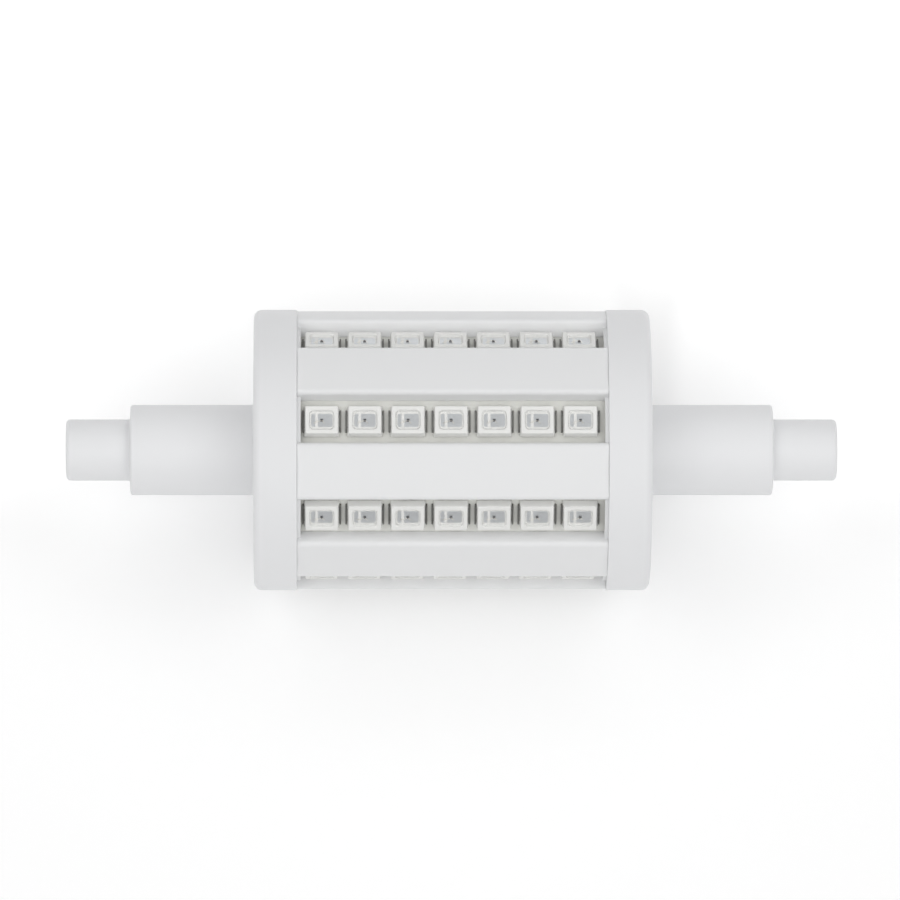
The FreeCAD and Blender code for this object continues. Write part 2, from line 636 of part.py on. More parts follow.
def inductor(x):
    """A drum core with its winding as a piece of its own."""
    waist = "(sizes.coil_radius - sizes.coil_margin - sizes.coil_depth - sizes.turned_gap)"
    drum = [cylinder("drum_foot", "sizes.coil_radius", "sizes.coil_flange", x, "0", DRIVER_TOP),
            cylinder("drum_waist", waist, "sizes.coil_rise", x, "0", DRIVER_TOP),
            cylinder("drum_head", "sizes.coil_radius", "sizes.coil_flange", x, "0",
                     f"{DRIVER_TOP} + sizes.coil_rise - sizes.coil_flange")]
    feet = legs("inductor", "sizes.coil_flange / 2", (x, "-sizes.coil_spread"), (x, "sizes.coil_spread"))
    level = f"{DRIVER_TOP} + sizes.coil_flange + sizes.turned_gap"
    height = "sizes.coil_rise - 2 * (sizes.coil_flange + sizes.turned_gap)"
    coil = cylinder("coil_outer", "sizes.coil_radius - sizes.coil_margin", height, x, "0", level)
    room = cylinder("coil_room", f"{waist} + sizes.turned_gap", height, x, "0", level)
    return fused("inductor_core", *drum, *feet), cut("inductor_winding", coil, room)


output_side = "(sizes.wire_radius + sizes.output_wire_gap + sizes.output_radius)"
kept.append(fuse_resistor(from_left("sizes.fuse_inset"), "sizes.fuse_side"))
kept.append(standing_can("bulk_capacitor", "bulk", "sizes.bulk_place", "0",
                         headroom("sizes.bulk_radius", "sizes.bulk_headroom")))
kept.extend(inductor(from_right("sizes.coil_inset")))
kept.append(standing_can("output_capacitor", "output", from_right("sizes.output_inset"), output_side,
                         "sizes.output_rise"))
kept.append(flat_chip("bridge_rectifier", "bridge", from_left("sizes.bridge_inset"), 2))
kept.append(flat_chip("driver_chip", "control", "sizes.control_place", 4))
kept.append(flat_chip("flywheel_diode", "diode", from_right("sizes.diode_inset"), 1))

board_plate = box("driver_plate", f"2 * {DRIVER_END}", f"2 * {DRIVER_HALF}", "sizes.driver_thick",
                  f"-{DRIVER_END}", f"-{DRIVER_HALF}", DRIVER_UNDER)
drills = [cylinder(f"drill_{number}", "sizes.pin_radius + sizes.pin_gap", "sizes.driver_thick",
                   x, y, DRIVER_UNDER)
          for number, (x, y) in enumerate(leg_places, start=1)]
kept.append(cut("driver_board", board_plate, fused("drill_set", *drills)))


# Input wires: from a contact's shank along the neck, then down onto the driver board.
def input_wire(label):
    radius, bend = size("sizes.wire_radius"), size("sizes.wire_bend")
    drop = -size(DRIVER_TOP) - radius
    start, end = size(SHANK_END), size(DRIVER_END) - size("sizes.wire_overlap")
    landing = size(DRIVER_END) + size("sizes.wire_lead_in")
    cosine = 1 - drop / (2 * bend)
    sine = (1 - cosine ** 2) ** 0.5
    half_sine = ((1 - cosine) / 2) ** 0.5
    half_cosine = ((1 + cosine) / 2) ** 0.5

    def point(x, z):
        return FreeCAD.Vector(x, 0, z)

    turn_in = landing + 2 * bend * sine
    middle = point(turn_in - bend * sine, -drop / 2)
    upper = Part.Arc(point(turn_in, 0), point(turn_in - bend * half_sine, -bend * (1 - half_cosine)), middle)
    lower = Part.Arc(middle, point(landing + bend * half_sine, -drop + bend * (1 - half_cosine)),
                     point(landing, -drop))
    edges = [Part.LineSegment(point(start, 0), point(turn_in, 0)).toShape(), upper.toShape(),
             lower.toShape(), Part.LineSegment(point(landing, -drop), point(end, -drop)).toShape()]
    path = Part.Wire(edges)
    ring = Part.Wire(Part.makeCircle(radius, point(start, 0), FreeCAD.Vector(1, 0, 0)))
    return feature_from(label, path.makePipeShell([ring], True, True))


# Output links: bare wire from the driver board to a link ring.
def output_link(label):
    radius = size("sizes.link_wire_radius")
    start = size(DRIVER_END) - size("sizes.link_wire_overlap")
    foot = FreeCAD.Vector(start, -size(LINK_WIRE_SIDE), size(DRIVER_TOP) + radius)
    shape = Part.makeCylinder(radius, size(LINK_INNER) - start, foot, FreeCAD.Vector(1, 0, 0))
    return feature_from(label, shape)


for side, placement in (("right", FreeCAD.Placement()), ("left", turned_end_for_end())):
    for maker, label in ((input_wire, "input_wire_"), (output_link, "output_link_")):
        piece = maker(label + side)
        piece.Placement = placement
        kept.append(piece)

doc.recompute()

for thing in doc.Objects:
    if {"Invalid", "Error"} & set(thing.State):
        raise RuntimeError(f"{thing.Label} failed: {thing.State}")
for piece in kept:
    if piece.Shape.isNull() or not piece.Shape.isValid() or not piece.Shape.Solids:
        raise RuntimeError(f"{piece.Label} has no valid solid")

os.makedirs("parts", exist_ok=True)
for piece in kept:
    piece.Shape.exportStep(f"parts/{piece.Label}.step")
print(len(kept), "pieces written")
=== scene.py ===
import math

import bmesh
import bpy
from mathutils import Matrix, Vector


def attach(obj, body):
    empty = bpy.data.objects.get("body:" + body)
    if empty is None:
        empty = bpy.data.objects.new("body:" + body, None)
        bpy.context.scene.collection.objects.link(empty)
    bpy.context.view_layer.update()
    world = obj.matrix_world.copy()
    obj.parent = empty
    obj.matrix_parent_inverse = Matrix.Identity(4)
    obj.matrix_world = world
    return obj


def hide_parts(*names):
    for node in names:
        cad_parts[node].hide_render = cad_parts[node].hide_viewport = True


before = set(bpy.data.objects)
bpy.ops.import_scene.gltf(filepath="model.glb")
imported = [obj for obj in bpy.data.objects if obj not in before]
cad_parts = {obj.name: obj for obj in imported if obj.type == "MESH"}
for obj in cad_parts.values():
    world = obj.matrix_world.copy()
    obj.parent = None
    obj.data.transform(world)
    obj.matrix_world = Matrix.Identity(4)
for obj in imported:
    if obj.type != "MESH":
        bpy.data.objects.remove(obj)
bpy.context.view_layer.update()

mm = 0.001  # the dictionaries below hold millimetres and degrees
windowCount = 8
windowStep = math.radians(360 / windowCount)
halfStep = windowStep / 2
scene = bpy.context.scene
print("frame loaded", len(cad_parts), "nodes")


# Helpers: nodes.

def gray(level):
    return (level, level, level, 1)


def addNode(tree, kind, **values):
    # Each value sets the node's property of that name, or else its input.
    node = tree.nodes.new(kind)
    for key, value in values.items():
        if hasattr(node, key):
            setattr(node, key, value)
        else:
            node.inputs[key].default_value = value
    return node


def linkAll(tree, *pairs):
    for source, target in pairs:
        tree.links.new(source, target)


def mathNode(tree, operation, *values):
    # Each value is a socket to link or a plain number.
    node = addNode(tree, "ShaderNodeMath", operation=operation)
    for socket, value in zip(node.inputs, values):
        if isinstance(value, bpy.types.NodeSocket):
            tree.links.new(value, socket)
        else:
            socket.default_value = value
    return node.outputs["Value"]


def fadeBetween(tree, source, low, high, first=0.0, last=1.0):
    # Goes smoothly from first to last while the source goes from low to high.
    fade = addNode(tree, "ShaderNodeMapRange", interpolation_type="SMOOTHSTEP")
    for socketName, value in (("From Min", low), ("From Max", high), ("To Min", first), ("To Max", last)):
        fade.inputs[socketName].default_value = value
    tree.links.new(source, fade.inputs["Value"])
    return fade.outputs["Result"]


def newMaterial(name):
    material = bpy.data.materials.new(name)
    material.use_nodes = True
    tree = material.node_tree
    return material, tree, tree.nodes["Principled BSDF"]


# Shared effects.

def newFinish(name, ownInputs):
    # A shader group with the sockets that every finish has, and some inputs of its own.
    tree = bpy.data.node_groups.new(name, "ShaderNodeTree")
    for socketName, kind in [("Tone", "NodeSocketColor"), ("Shade", "NodeSocketColor"),
                             ("Base Roughness", "NodeSocketFloat"),
                             ("Roughness Spread", "NodeSocketFloat")] + ownInputs:
        tree.interface.new_socket(socketName, in_out="INPUT", socket_type=kind)
    for socketName, kind in (("Color", "NodeSocketColor"), ("Roughness", "NodeSocketFloat"),
                             ("Height", "NodeSocketFloat")):
        tree.interface.new_socket(socketName, in_out="OUTPUT", socket_type=kind)
    return tree, tree.nodes.new("NodeGroupInput"), tree.nodes.new("NodeGroupOutput")


def endFinish(tree, groupIn, groupOut, pattern, height):
    # The pattern mixes Tone with Shade and spreads the roughness.
    mix = addNode(tree, "ShaderNodeMix", data_type="RGBA")
    roughness = mathNode(tree, "MULTIPLY_ADD", pattern, groupIn.outputs["Roughness Spread"],
                         groupIn.outputs["Base Roughness"])
    linkAll(tree, (pattern, mix.inputs["Factor"]), (groupIn.outputs["Tone"], mix.inputs["A"]),
            (groupIn.outputs["Shade"], mix.inputs["B"]), (mix.outputs["Result"], groupOut.inputs["Color"]),
            (roughness, groupOut.inputs["Roughness"]), (height, groupOut.inputs["Height"]))


# Slow mottling of a moulded surface, with a fine grain for its bump.
mouldFinish, groupIn, groupOut = newFinish(
    "mouldFinish", [("Cloud Scale", "NodeSocketFloat"), ("Grain Scale", "NodeSocketFloat")])
place = addNode(mouldFinish, "ShaderNodeTexCoord")
cloud = addNode(mouldFinish, "ShaderNodeTexNoise", Detail=3.0, Roughness=0.55)
grain = addNode(mouldFinish, "ShaderNodeTexNoise", Detail=2.0, Roughness=0.6)
for noise, scaleName in ((cloud, "Cloud Scale"), (grain, "Grain Scale")):
    linkAll(mouldFinish, (place.outputs["Object"], noise.inputs["Vector"]),
            (groupIn.outputs[scaleName], noise.inputs["Scale"]))
endFinish(mouldFinish, groupIn, groupOut, cloud.outputs["Fac"], grain.outputs["Fac"])

# Scratches and dulling on bare metal, drawn out along one axis.
metalWear, groupIn, groupOut = newFinish(
    "metalWear", [("Stretch", "NodeSocketVector"), ("Scale", "NodeSocketFloat")])
place = addNode(metalWear, "ShaderNodeTexCoord")
drawn = addNode(metalWear, "ShaderNodeVectorMath", operation="MULTIPLY")
streak = addNode(metalWear, "ShaderNodeTexNoise", Detail=4.0, Roughness=0.65)
linkAll(metalWear, (place.outputs["Object"], drawn.inputs[0]),
        (groupIn.outputs["Stretch"], drawn.inputs[1]), (drawn.outputs["Vector"], streak.inputs["Vector"]),
        (groupIn.outputs["Scale"], streak.inputs["Scale"]))
endFinish(metalWear, groupIn, groupOut, streak.outputs["Fac"], streak.outputs["Fac"])


# Materials. Bump depths are in metres.

bumps = {"mouldDepth": 0.00002, "fineDepth": 0.00001, "wear": 0.1}
wearScale = 3000.0
resinAlpha = 0.12
finishes = {}


def finished(name, group, bumpStrength, bumpDepth, values):
    # Makes a material with the group's finish, and returns its shader.
    material, tree, shader = newMaterial(name)
    effect = addNode(tree, "ShaderNodeGroup", node_tree=group)
    for socketName, value in values.items():
        effect.inputs[socketName].default_value = value
    bump = addNode(tree, "ShaderNodeBump", Strength=bumpStrength, Distance=bumpDepth)
    linkAll(tree, (effect.outputs["Color"], shader.inputs["Base Color"]),
            (effect.outputs["Roughness"], shader.inputs["Roughness"]),
            (effect.outputs["Height"], bump.inputs["Height"]),
            (bump.outputs["Normal"], shader.inputs["Normal"]))
    finishes[name] = material
    return shader


def moulded(name, tone, shade, cloudScale=120.0, grainScale=9000.0, roughness=0.4, spread=0.08,
            bump=0.15, bumpDepth=bumps["mouldDepth"], specular=0.5):
    shader = finished(name, mouldFinish, bump, bumpDepth,
                      {"Tone": (*tone, 1), "Shade": (*shade, 1), "Cloud Scale": cloudScale,
                       "Grain Scale": grainScale, "Base Roughness": roughness, "Roughness Spread": spread})
    shader.inputs["Specular IOR Level"].default_value = specular
    return shader


def metal(name, tone, shade, stretch=(1, 1, 1), roughness=0.22, spread=0.25):
    shader = finished(name, metalWear, bumps["wear"], bumps["fineDepth"],
                      {"Tone": (*tone, 1), "Shade": (*shade, 1), "Stretch": stretch, "Scale": wearScale,
                       "Base Roughness": roughness, "Roughness Spread": spread})
    shader.inputs["Metallic"].default_value = 1.0


moulded("capWhite", (0.855, 0.86, 0.87), (0.835, 0.84, 0.85), roughness=0.45, specular=0.3)
moulded("ribWhite", (0.86, 0.865, 0.87), (0.84, 0.845, 0.85), roughness=0.45, specular=0.3)
moulded("packageWhite", (0.87, 0.87, 0.85), (0.84, 0.84, 0.82), grainScale=16000.0, roughness=0.45,
        specular=0.3)
moulded("boardMask", (0.80, 0.80, 0.76), (0.74, 0.74, 0.70), cloudScale=900.0, grainScale=14000.0,
        roughness=0.35, bump=0.3)
moulded("linkBoardMask", (0.74, 0.74, 0.68), (0.66, 0.66, 0.60), cloudScale=500.0, roughness=0.35)
moulded("driverMask", (0.03, 0.16, 0.07), (0.02, 0.11, 0.05), cloudScale=500.0, roughness=0.28)
moulded("sleeveWhite", (0.72, 0.72, 0.72), (0.66, 0.66, 0.66), roughness=0.5)
moulded("chipBlack", (0.02, 0.02, 0.022), (0.03, 0.03, 0.032), grainScale=20000.0, roughness=0.5, bump=0.4)
moulded("capacitorFilm", (0.015, 0.02, 0.035), (0.02, 0.028, 0.045), roughness=0.22)
moulded("resistorCement", (0.16, 0.30, 0.24), (0.12, 0.24, 0.19), cloudScale=1500.0, roughness=0.7, bump=0.5)
moulded("ferriteDark", (0.045, 0.045, 0.05), (0.03, 0.03, 0.033), cloudScale=2500.0, roughness=0.55,
        bump=0.4)
moulded("wireCover", (0.74, 0.73, 0.70), (0.68, 0.67, 0.64), roughness=0.45)
moulded("dieDark", (0.02, 0.022, 0.03), (0.035, 0.035, 0.045), cloudScale=5000.0, roughness=0.15, spread=0.1,
        bump=0.1, bumpDepth=bumps["fineDepth"])
resin = moulded("clearResin", (0.97, 0.97, 0.96), (0.94, 0.94, 0.92), cloudScale=700.0, roughness=0.12,
                spread=0.1, bump=0.05, bumpDepth=bumps["fineDepth"])
resin.inputs["Alpha"].default_value = resinAlpha
metal("nickel", (0.66, 0.63, 0.58), (0.52, 0.49, 0.45), roughness=0.2)
metal("leadTin", (0.27, 0.27, 0.26), (0.18, 0.18, 0.17), roughness=0.4)
metal("padSilver", (0.77, 0.80, 0.83), (0.68, 0.71, 0.74), roughness=0.3, spread=0.1)
metal("solderBright", (0.62, 0.62, 0.63), (0.45, 0.45, 0.46), roughness=0.25)
metal("coreAluminium", (0.62, 0.63, 0.64), (0.50, 0.51, 0.52), stretch=(0.03, 1, 1))
metal("coilCopper", (0.62, 0.26, 0.12), (0.45, 0.17, 0.07), roughness=0.3)
metal("bondGold", (0.92, 0.88, 0.78), (0.88, 0.83, 0.72), roughness=0.35, spread=0.1)
print("materials made", len(finishes))


# Helpers: meshes.

mergeDistance = 1e-7  # in metres
axisRadius = 1e-6  # an outline point nearer to the axis than this is on it, in mm
smoothAngle = 30.0


def smoothShade(data, angle):
    data.shade_smooth()
    data.set_sharp_from_angle(angle=math.radians(angle))


def linkedObject(name, data):
    piece = bpy.data.objects.new(name, data)
    scene.collection.objects.link(piece)
    return piece


def meshObject(name, verts, faces, angle=smoothAngle):
    # Takes points in mm. The new mesh is in metres, merged, and its faces point outwards.
    data = bpy.data.meshes.new(name)
    data.from_pydata([Vector(vert) * mm for vert in verts], [], faces)
    build = bmesh.new()
    build.from_mesh(data)
    bmesh.ops.remove_doubles(build, verts=build.verts, dist=mergeDistance)
    bmesh.ops.recalc_face_normals(build, faces=build.faces)
    build.to_mesh(data)
    build.free()
    smoothShade(data, angle)
    return linkedObject(name, data)


def rounded(corners, arcSteps):
    # Rounds a closed outline of (a, b, radius) corners. A radius of 0 keeps its corner.
    result = []
    points = [Vector((a, b)) for a, b, _ in corners]
    for index, here in enumerate(points):
        radius = corners[index][2]
        if radius <= 0:
            result.append(tuple(here))
            continue
        before = (points[index - 1] - here).normalized()
        after = (points[(index + 1) % len(points)] - here).normalized()
        half = math.acos(max(-1, min(1, before.dot(after)))) / 2
        reach = radius / math.tan(half)
        centre = here + (before + after).normalized() * (radius / math.sin(half))
        start, end = here + before * reach - centre, here + after * reach - centre
        sweep = start.angle(end)
        side = 1 if start.x * end.y - start.y * end.x > 0 else -1
        for step in range(arcSteps + 1):
            turn = side * sweep * step / arcSteps
            spoke = Vector((start.x * math.cos(turn) - start.y * math.sin(turn),
                            start.x * math.sin(turn) + start.y * math.cos(turn)))
            result.append(tuple(centre + spoke))
    return result


def latheAround(outline, segments):
    # Turns a closed outline of (x, radius) around X. Points on the axis become one pole.
    verts, rings, faces = [], [], []
    for x, radius in outline:
        if radius < axisRadius:
            rings.append([len(verts)])
            verts.append((x, 0, 0))
            continue
        rings.append(list(range(len(verts), len(verts) + segments)))
        for step in range(segments):
            turn = 2 * math.pi * step / segments
            verts.append((x, radius * math.sin(turn), radius * math.cos(turn)))
    for here, there in zip(rings, rings[1:] + rings[:1]):
        if len(here) == 1 and len(there) == 1:
            continue
        for step in range(segments):
            following = (step + 1) % segments
            corners = [here[step % len(here)], here[following % len(here)],
                       there[following % len(there)], there[step % len(there)]]
            faces.append(list(dict.fromkeys(corners)))
    return verts, faces


def stacked(levels):
    # Joins closed rings of points, all with the same count, and closes both ends.
    count = len(levels[0])
    verts = [point for level in levels for point in level]
    faces = []
    for base in range(0, len(verts) - count, count):
        for step in range(count):
            following = (step + 1) % count
            faces.append([base + step, base + following, base + count + following, base + count + step])
    faces.append(list(range(count))[::-1])
    faces.append(list(range(len(verts) - count, len(verts))))
    return verts, faces


def extruded(outline, start, end, axis):
    # A closed outline pushed from start to end along X, Y or Z, for an axis of 0, 1 or 2.
    return stacked([[(*corner[:axis], along, *corner[axis:]) for corner in outline]
                    for along in (start, end)])


def tubeAlong(path, radius, sides):
    levels = []
    for index, point in enumerate(path):
        ahead = (path[min(index + 1, len(path) - 1)] - path[max(index - 1, 0)]).normalized()
        across = ahead.cross(Vector((0, 0, 1))).normalized()
        up = across.cross(ahead)
        turns = [2 * math.pi * side / sides for side in range(sides)]
        levels.append([tuple(point + (across * math.cos(turn) + up * math.sin(turn)) * radius)
                       for turn in turns])
    return stacked(levels)


def joined(*parts):
    verts, faces = [], []
    for partVerts, partFaces in parts:
        shift = len(verts)
        verts += partVerts
        faces += [[corner + shift for corner in face] for face in partFaces]
    return verts, faces


def keep(piece, slotName, *nodes):
    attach(piece, "root")
    if nodes:
        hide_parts(*nodes)


def endPair(name, outline, segments, finish, slotName, node):
    # The same turned piece at both ends of the lamp.
    right = meshObject(name + "Right", *latheAround(outline, segments))
    data = right.data.copy()
    data.name = name + "Left"
    data.transform(Matrix.Rotation(math.pi, 4, "Z"))
    left = linkedObject(name + "Left", data)
    for piece, side in ((right, "right"), (left, "left")):
        piece.data.materials.append(finishes[finish])
        keep(piece, slotName, f"{node}_{side}")


# End caps.

cap = {"skirtStart": 15.62, "face": 20.0, "shoulder": 32.5, "tip": 39.0, "bodyRadius": 14.2,
       "neckRadius": 4.58, "tipRadius": 3.1, "skirtWall": 0.9, "flange": 1.5, "boreRadius": 3.2,
       "boreEnd": 31.1, "recessRadius": 2.0, "recessFloor": 37.45, "seat": 36.95, "seatRadius": 1.8,
       "shankHole": 0.85, "rimRound": 0.8, "neckFillet": 0.25, "shoulderRound": 0.3, "tipFillet": 0.2,
       "noseRound": 0.45, "mouthRound": 0.15, "skirtRound": 0.1, "arcSteps": 8, "segments": 192}
capInside = cap["face"] - cap["flange"]
skirtInner = cap["bodyRadius"] - cap["skirtWall"]
capOutline = rounded([
    (cap["skirtStart"], skirtInner, 0), (cap["skirtStart"], cap["bodyRadius"], cap["skirtRound"]),
    (cap["face"], cap["bodyRadius"], cap["rimRound"]), (cap["face"], cap["neckRadius"], cap["neckFillet"]),
    (cap["shoulder"], cap["neckRadius"], cap["shoulderRound"]),
    (cap["shoulder"], cap["tipRadius"], cap["tipFillet"]), (cap["tip"], cap["tipRadius"], cap["noseRound"]),
    (cap["tip"], cap["recessRadius"], cap["mouthRound"]), (cap["recessFloor"], cap["recessRadius"], 0),
    (cap["recessFloor"], cap["seatRadius"], 0), (cap["seat"], cap["seatRadius"], 0),
    (cap["seat"], cap["shankHole"], 0), (cap["boreEnd"], cap["shankHole"], 0),
    (cap["boreEnd"], cap["boreRadius"], 0), (capInside, cap["boreRadius"], 0), (capInside, skirtInner, 0)],
    cap["arcSteps"])
endPair("endCap", capOutline, cap["segments"], "capWhite", "cap_plastic", "end_cap")
print("end caps made")


# Contacts.

contact = {"shankStart": 30.5, "discRadius": 1.75, "shankRadius": 0.8, "shankRound": 0.1, "edge": 0.12,
           "dimple": 0.55, "dimpleDepth": 0.18, "dimpleRound": 0.1, "arcSteps": 5, "segments": 64}
discBack, discFace = cap["seat"], cap["recessFloor"]
contactOutline = rounded([
    (contact["shankStart"], 0, 0), (contact["shankStart"], contact["shankRadius"], contact["shankRound"]),
    (discBack, contact["shankRadius"], 0), (discBack, contact["discRadius"], 0),
    (discFace, contact["discRadius"], contact["edge"]),
    (discFace, contact["dimple"], contact["dimpleRound"]),
    (discFace - contact["dimpleDepth"], 0, 0)], contact["arcSteps"])
endPair("contact", contactOutline, contact["segments"], "nickel", "contact_metal", "contact")
print("contacts made")


# Geometry node helpers.

def geometryTree(name, inputs):
    tree = bpy.data.node_groups.new(name, "GeometryNodeTree")
    tree.interface.new_socket("Geometry", in_out="INPUT", socket_type="NodeSocketGeometry")
    for socketName, kind in inputs:
        tree.interface.new_socket(socketName, in_out="INPUT", socket_type=kind)
    tree.interface.new_socket("Geometry", in_out="OUTPUT", socket_type="NodeSocketGeometry")
    return tree, tree.nodes.new("NodeGroupInput"), tree.nodes.new("NodeGroupOutput")


def runTree(piece, tree, name, values):
    # Runs a tree on a piece and returns a new plain piece with the result.
    modifier = piece.modifiers.new("layout", "NODES")
    modifier.node_group = tree
    for item in tree.interface.items_tree:
        if item.in_out == "INPUT" and item.name in values:
            modifier[item.identifier] = values[item.name]
    bpy.context.view_layer.update()
    evaluated = piece.evaluated_get(bpy.context.evaluated_depsgraph_get())
    data = bpy.data.meshes.new_from_object(evaluated)
    data.name = name
    piece.modifiers.clear()
    return linkedObject(name, data)


def wheelTree():
    # Copies its input around X, joins the copies with a second piece by a boolean, and sets the material.
    tree, start, end = geometryTree("ribWheel", [
        ("Count", "NodeSocketInt"), ("First Turn", "NodeSocketFloat"), ("Rings", "NodeSocketObject"),
        ("Material", "NodeSocketMaterial")])
    line = addNode(tree, "GeometryNodeMeshLine", mode="OFFSET", Offset=(0, 0, 0))
    index = addNode(tree, "GeometryNodeInputIndex")
    step = mathNode(tree, "DIVIDE", 2 * math.pi, start.outputs["Count"])
    turn = mathNode(tree, "MULTIPLY_ADD", index.outputs["Index"], step, start.outputs["First Turn"])
    angles = addNode(tree, "ShaderNodeCombineXYZ")
    toRotation = addNode(tree, "FunctionNodeEulerToRotation")
    copies = addNode(tree, "GeometryNodeInstanceOnPoints")
    realize = addNode(tree, "GeometryNodeRealizeInstances")
    rings = addNode(tree, "GeometryNodeObjectInfo")
    union = addNode(tree, "GeometryNodeMeshBoolean", operation="UNION", solver="EXACT")
    setMaterial = addNode(tree, "GeometryNodeSetMaterial")
    linkAll(tree,
            (start.outputs["Count"], line.inputs["Count"]), (turn, angles.inputs["X"]),
            (angles.outputs["Vector"], toRotation.inputs["Euler"]),
            (toRotation.outputs["Rotation"], copies.inputs["Rotation"]),
            (line.outputs["Mesh"], copies.inputs["Points"]),
            (start.outputs["Geometry"], copies.inputs["Instance"]),
            (copies.outputs["Instances"], realize.inputs["Geometry"]),
            (start.outputs["Rings"], rings.inputs["Object"]),
            (realize.outputs["Geometry"], union.inputs["Mesh 2"]),
            (rings.outputs["Geometry"], union.inputs["Mesh 2"]),
            (union.outputs["Mesh"], setMaterial.inputs["Geometry"]),
            (start.outputs["Material"], setMaterial.inputs["Material"]),
            (setMaterial.outputs["Geometry"], end.inputs["Geometry"]))
    return tree


# Rib cage.

rib = {"face": 13.853, "seat": 12.063, "windowHalf": 2.18, "windowFlare": 0.333, "keelHalf": 0.5,
       "keelFoot": 11.371, "length": 31.2, "edgeRound": 0.45, "edgeSteps": 7, "ringInner": 12.6,
       "ringOuter": 13.25, "ringStart": 15.25, "ringEnd": 18.5, "ringRound": 0.05, "ringSteps": 3,
       "segments": 192}


def seenFromRib(across, level):
    # A point beside a window's middle, in the frame of the rib next to it.
    return (level * math.sin(halfStep) - across * math.cos(halfStep),
            level * math.cos(halfStep) + across * math.sin(halfStep))


def ribOutline():
    # Face, one slanted wall along each window, a foot on each board, and the keel between the boards.
    ribHalf = seenFromRib(rib["windowHalf"] + rib["windowFlare"], rib["face"])[0]
    keelRoot = (rib["seat"] - rib["keelHalf"] * math.sin(halfStep)) / math.cos(halfStep)
    oneSide = [(rib["keelHalf"], rib["keelFoot"], 0), (rib["keelHalf"], keelRoot, 0),
               (*seenFromRib(rib["windowHalf"], rib["seat"]), 0), (ribHalf, rib["face"], rib["edgeRound"])]
    otherSide = [(-across, up, radius) for across, up, radius in reversed(oneSide)]
    return rounded(oneSide + otherSide, rib["edgeSteps"])


ribBlank = meshObject("ribBlank", *extruded(ribOutline(), -rib["length"] / 2, rib["length"] / 2, 0))
ringOutline = rounded([(rib["ringStart"], rib["ringInner"], 0),
                       (rib["ringStart"], rib["ringOuter"], rib["ringRound"]),
                       (rib["ringEnd"], rib["ringOuter"], 0), (rib["ringEnd"], rib["ringInner"], 0)],
                      rib["ringSteps"])
mirrored = [(-x, radius) for x, radius in ringOutline]
ringPair = meshObject("ringPair", *joined(latheAround(ringOutline, rib["segments"]),
                                          latheAround(mirrored, rib["segments"])))
cage = runTree(ribBlank, wheelTree(), "ribCage",
               {"Count": windowCount, "First Turn": halfStep, "Rings": ringPair,
                "Material": finishes["ribWhite"]})
smoothShade(cage.data, smoothAngle)
for source in (ribBlank, ringPair):
    bpy.data.objects.remove(source)
keep(cage, "rib_plastic", "rib_cage")
print("rib cage made", len(cage.data.polygons), "faces")


# Light packages.

light = {"count": 7, "pitch": 4.32, "offset": -0.18, "boardFace": 12.013, "faceLength": 3.275,
         "faceWidth": 2.835, "baseLength": 3.55, "baseWidth": 3.11, "base": 0.15, "top": 1.1,
         "corner": 0.12, "cornerSteps": 7, "edgeRound": 0.09, "edgeSteps": 4, "cavityLength": 2.5,
         "cavityWidth": 2.0, "floorLength": 2.28, "floorWidth": 1.78, "cavityRound": 0.4,
         "cavityDepth": 0.3, "cavityEdge": 0.05, "cavityEdgeSteps": 3, "smoothAngle": 40.0}
pad = {"half": 0.67, "narrowEnd": -1.05, "narrowStart": -0.66, "wideStart": -0.37, "wideEnd": 1.08,
       "rise": 0.012, "round": 0.2, "nearRound": 0.03, "narrowSteps": 4, "wideSteps": 5}
terminal = {"thick": 0.15, "reach": 1.95, "half": 1.1, "footLength": 0.8, "footEdge": 0.03,
            "bendOuter": 0.18, "bendInner": 0.06, "topOuter": 0.05, "topInner": 0.02, "bendSteps": 5,
            "armHalf": 0.675, "armLevel": 0.45, "armDrop": 0.01, "armEdge": 0.02, "armSteps": 2}
chip = {"side": 0.28, "rise": 0.12, "corner": 0.02, "cornerSteps": 2, "edgeDrop": 0.02, "edgeInset": 0.03}
bond = {"radius": 0.022, "sides": 6, "steps": 8, "startAside": 0.05, "startBack": -0.05,
        "endLeft": (-0.8, -0.3), "endRight": (0.3, -0.34), "endRise": 0.03, "arch": 0.1,
        "smoothAngle": 60.0}
lens = {"wallGap": 0.02, "padGap": 0.002}
cavityFloor = light["top"] - light["cavityDepth"]


